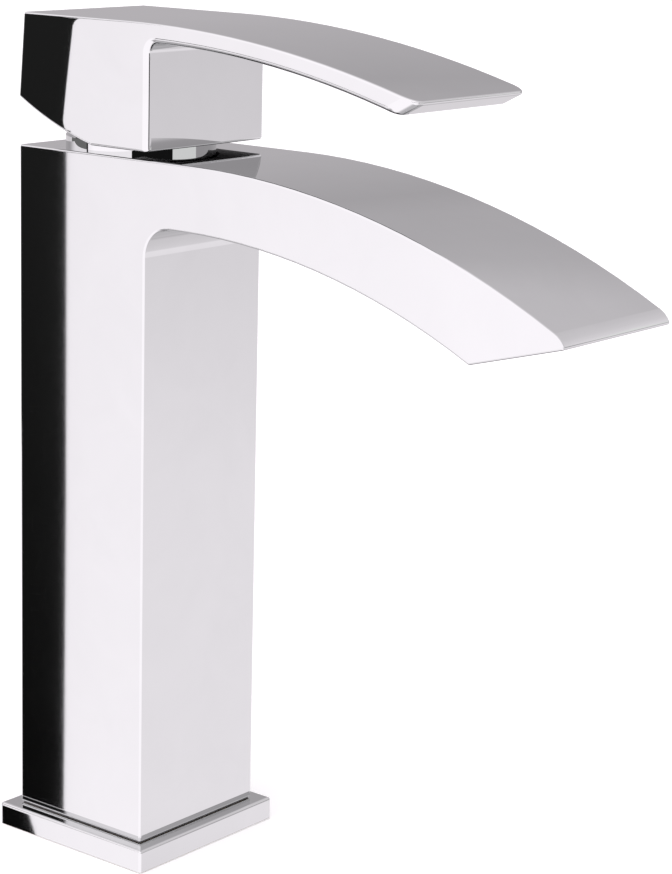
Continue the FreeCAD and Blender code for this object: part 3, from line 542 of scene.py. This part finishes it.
def stand_card(name, corners, low, high):
    """A flat card through these corners that only polished metal sees. It fades with height, from
    low to high, which are each a height and the glow there."""
    bpy.ops.mesh.primitive_circle_add(vertices=len(corners), fill_type="NGON")
    card = bpy.context.object
    card.name = name
    for point, corner in zip(card.data.vertices, corners):
        point.co = corner
    material, tree, shader, place = start_material(
        f"painted_{name}",
        {
            "Base Color": linear("#000000"),
            "Specular IOR Level": 0.0,
            "Emission Color": linear("#FFFFFF"),
        },
    )
    rise = add_node(tree, "ShaderNodeSeparateXYZ", {}, {"Vector": place})
    glow = add_node(
        tree,
        "ShaderNodeMapRange",
        {},
        {
            "Value": rise.outputs["Z"],
            "From Min": low[0],
            "From Max": high[0],
            "To Min": low[1],
            "To Max": high[1],
        },
    )
    tree.links.new(glow.outputs["Result"], shader.inputs["Emission Strength"])
    card.data.materials.append(material)
    card.visible_camera = False
    card.visible_diffuse = False
    card.visible_shadow = False
    card.visible_transmission = False


# A black flag stands to the left of the camera and draws the black band down the column and the
# handle. The round corners in its right border show on the handle.
flag_y = -1.0225
flag_outline = (
    (-1.12, -0.62),
    (-1.01, -0.62),
    (-1.032, -0.58),
    (-1.041, -0.5605),
    (-1.0053, -0.5595),
    (-1.003, -0.28),
    (-1.003, 0.02),
    (-0.998, 0.0305),
    (-1.0035, 0.0312),
    (-1.0051, 0.0327),
    (-1.0063, 0.0358),
    (-1.0067, 0.039),
    (-1.0035, 0.0637),
    (-0.9968, 0.1092),
    (-0.9959, 0.1157),
    (-0.9938, 0.119),
    (-0.9913, 0.1208),
    (-0.9855, 0.1227),
    (-0.975, 0.124),
    (-0.975, 0.15),
    (-1.003, 0.25),
    (-1.003, 0.9),
    (-1.12, 0.9),
)
flag_corners = [(x, flag_y, z) for x, z in flag_outline]
stand_card("black_flag", flag_corners, low=(-0.6, 0.004), high=(0.12, 0.0165))

# The other cards are upright rectangles. Each row has a card's two ends on the floor plan, and then
# the height and the glow of its lower and its upper edge.
upright_cards = (
    # A dark grey screen leads back from the flag on the left, and shows in the side of the ring.
    ("grey_screen", (-1.12, flag_y), (-1.3, -0.05), (-0.2, 0.19), (0.3, 0.19)),
    # The camera and a bag beside its stand are dark bands, which show in the ring under the handle
    # and as a thin line in the near edge of the block.
    ("dark_camera_bag", (1.14, -0.33), (1.35, 0.04), (0.02, 0.01), (0.14, 0.01)),
    ("dark_camera", (0.66, -1.18), (1.35, 0.04), (0.26, 0.01), (0.42, 0.01)),
    # A white card carries on from them to the right, and lights the right side of the ring.
    ("ring_card", (1.35, 0.04), (0.9, 0.85), (0.26, 1.0), (0.42, 1.0)),
    # A small white card behind the tap on the right lights the rolled tip of the spout.
    ("white_card", (0.5, 0.83), (0.68, 0.83), (0.34, 1.05), (0.58, 0.98)),
)
for name, start, end, low, high in upright_cards:
    corners = [(*start, low[0]), (*end, low[0]), (*end, high[0]), (*start, high[0])]
    stand_card(name, corners, low, high)

# The floor is painted matt white, and lies just under the plate.
floor_width = 30.0
floor_drop = 0.0002
bpy.ops.mesh.primitive_plane_add(size=floor_width, location=(0.0, 0.0, -floor_drop))
floor = bpy.context.object
floor.name = "pale_floor"
floor_paint, tree, shader, place = start_material(
    "matt_white_floor",
    {
        "Base Color": linear("#F4F4F4"),
        "Roughness": 0.9,
        "Specular IOR Level": 0.0,
        "Emission Color": linear("#FFFFFF"),
        "Emission Strength": 0.3,
    },
)
floor.data.materials.append(floor_paint)
floor.visible_glossy = False

# The surround is white in front of the tap, a little weaker on the far left, where the table is in
# shade. Behind the tap, a grey wall fades lighter towards the ceiling. It is darker on the left
# than on the right.
surround = bpy.data.worlds.new("studio_surround")
surround.use_nodes = True
bpy.context.scene.world = surround
sky = surround.node_tree
direction = add_node(sky, "ShaderNodeTexCoord", {}, {}).outputs["Generated"]
towards = add_node(sky, "ShaderNodeSeparateXYZ", {}, {"Vector": direction})
far_left_glow = 1.24
front_glow = 1.42
white = add_node(
    sky,
    "ShaderNodeMapRange",
    {},
    {
        "Value": towards.outputs["X"],
        "From Min": -0.72,
        "From Max": -0.55,
        "To Min": far_left_glow,
        "To Max": front_glow,
    },
)
shade_depth = 0.65
table = add_node(
    sky,
    "ShaderNodeMapRange",
    {"interpolation_type": "SMOOTHSTEP"},
    {"Value": towards.outputs["Z"], "From Min": -0.5, "From Max": -0.75, "To Max": shade_depth},
)
table_side = add_node(
    sky,
    "ShaderNodeMapRange",
    {"interpolation_type": "SMOOTHSTEP"},
    {"Value": towards.outputs["X"], "From Min": -0.35, "From Max": -0.5},
)
shade = add_node(
    sky,
    "ShaderNodeMath",
    {"operation": "MULTIPLY"},
    {0: table.outputs["Result"], 1: table_side.outputs["Result"]},
)
unshaded = add_node(
    sky, "ShaderNodeMath", {"operation": "SUBTRACT"}, {0: 1.0, 1: shade.outputs["Value"]}
)
in_front = add_node(
    sky,
    "ShaderNodeMath",
    {"operation": "MULTIPLY"},
    {0: white.outputs["Result"], 1: unshaded.outputs["Value"]},
)

# Each side of the wall is a ramp of heights, from -1 straight down to 1 straight up, with the glow
# there. A ramp holds no more than 1, so the glow is divided by the brightest and multiplied again.
left_tones = (
    (-1.0, 0.2),
    (-0.65, 0.35),
    (-0.5, 0.75),
    (-0.42, 0.84),
    (-0.3, 0.85),
    (-0.1, 0.8),
    (0.0, 0.6),
    (0.06, 0.5),
    (0.11, 0.51),
    (0.22, 0.51),
    (0.29, 0.5),
    (0.36, 0.48),
    (0.41, 0.53),
    (0.47, 0.555),
    (0.495, 0.58),
    (0.515, 0.64),
    (0.53, 0.69),
    (0.56, 0.71),
    (1.0, 1.0),
)
right_tones = (
    (-1.0, 0.7),
    (-0.56, 0.88),
    (-0.42, 0.93),
    (-0.37, 1.11),
    (-0.25, 1.09),
    (-0.174, 0.98),
    (-0.114, 0.9),
    (-0.085, 0.875),
    (0.0, 0.75),
    (0.06, 0.5),
    (0.12, 0.46),
    (0.25, 0.5),
    (0.37, 0.64),
    (0.413, 1.0),
    (0.446, 0.91),
    (0.494, 0.85),
    (0.557, 0.8),
    (1.0, 1.0),
)
brightest = 1.4
height = add_node(
    sky,
    "ShaderNodeMapRange",
    {},
    {"Value": towards.outputs["Z"], "From Min": -1.0, "From Max": 1.0},
)
walls = []
for tones in (left_tones, right_tones):
    wall = add_node(sky, "ShaderNodeValToRGB", {}, {"Fac": height.outputs["Result"]})
    stops = wall.color_ramp.elements
    while len(stops) < len(tones):
        stops.new(0.5)
    for stop, (rise, level) in zip(stops, tones):
        stop.position = (rise + 1) / 2
        stop.color = (*[level / brightest] * 3, 1.0)
    walls.append(
        add_node(
            sky,
            "ShaderNodeMath",
            {"operation": "MULTIPLY"},
            {0: wall.outputs["Color"], 1: brightest},
        )
    )
to_right = add_node(
    sky,
    "ShaderNodeMapRange",
    {"interpolation_type": "SMOOTHSTEP"},
    {"Value": towards.outputs["X"], "From Min": -0.25, "From Max": 0.15},
)
both_walls = add_node(
    sky,
    "ShaderNodeMix",
    {"data_type": "FLOAT"},
    {
        "Factor": to_right.outputs["Result"],
        "A": walls[0].outputs["Value"],
        "B": walls[1].outputs["Value"],
    },
)
behind = add_node(
    sky,
    "ShaderNodeMapRange",
    {"interpolation_type": "SMOOTHSTEP"},
    {"Value": towards.outputs["Y"], "From Min": -0.3, "From Max": 0.15},
)
round_tap = add_node(
    sky,
    "ShaderNodeMix",
    {"data_type": "FLOAT"},
    {
        "Factor": behind.outputs["Result"],
        "A": in_front.outputs["Value"],
        "B": both_walls.outputs["Result"],
    },
)

# Seen directly, the surround is plain white paper.
paper_glow = 1.2
rays = add_node(sky, "ShaderNodeLightPath", {}, {})
shown = add_node(
    sky,
    "ShaderNodeMix",
    {"data_type": "FLOAT"},
    {"Factor": rays.outputs["Is Camera Ray"], "A": round_tap.outputs["Result"], "B": paper_glow},
)
sky.links.new(shown.outputs["Result"], sky.nodes["Background"].inputs["Strength"])
sky.nodes["Background"].inputs["Color"].default_value = linear("#FFFAFF")

bpy.context.scene.view_settings.view_transform = "Standard"

# The camera was solved from the straight edges of the column, the plate and the handle.
camera_data = bpy.data.cameras.new("photo_camera")
camera_data.lens = 104.9
camera_data.sensor_width = 36.0
camera_data.shift_x = -0.0010
camera_data.shift_y = -0.0986
camera_data.clip_start = 0.01
camera_data.clip_end = 60.0
camera = bpy.data.objects.new("photo_camera", camera_data)
bpy.context.scene.collection.objects.link(camera)
camera_place = (0.459431, -0.488181, 0.269319)
camera_axes = Matrix(
    (
        (0.776878, -0.141740, 0.613490),
        (0.629251, 0.140082, -0.764473),
        (0.022418, 0.979942, 0.198018),
    )
)
camera.matrix_world = Matrix.Translation(camera_place) @ camera_axes.to_4x4()
bpy.context.scene.camera = camera
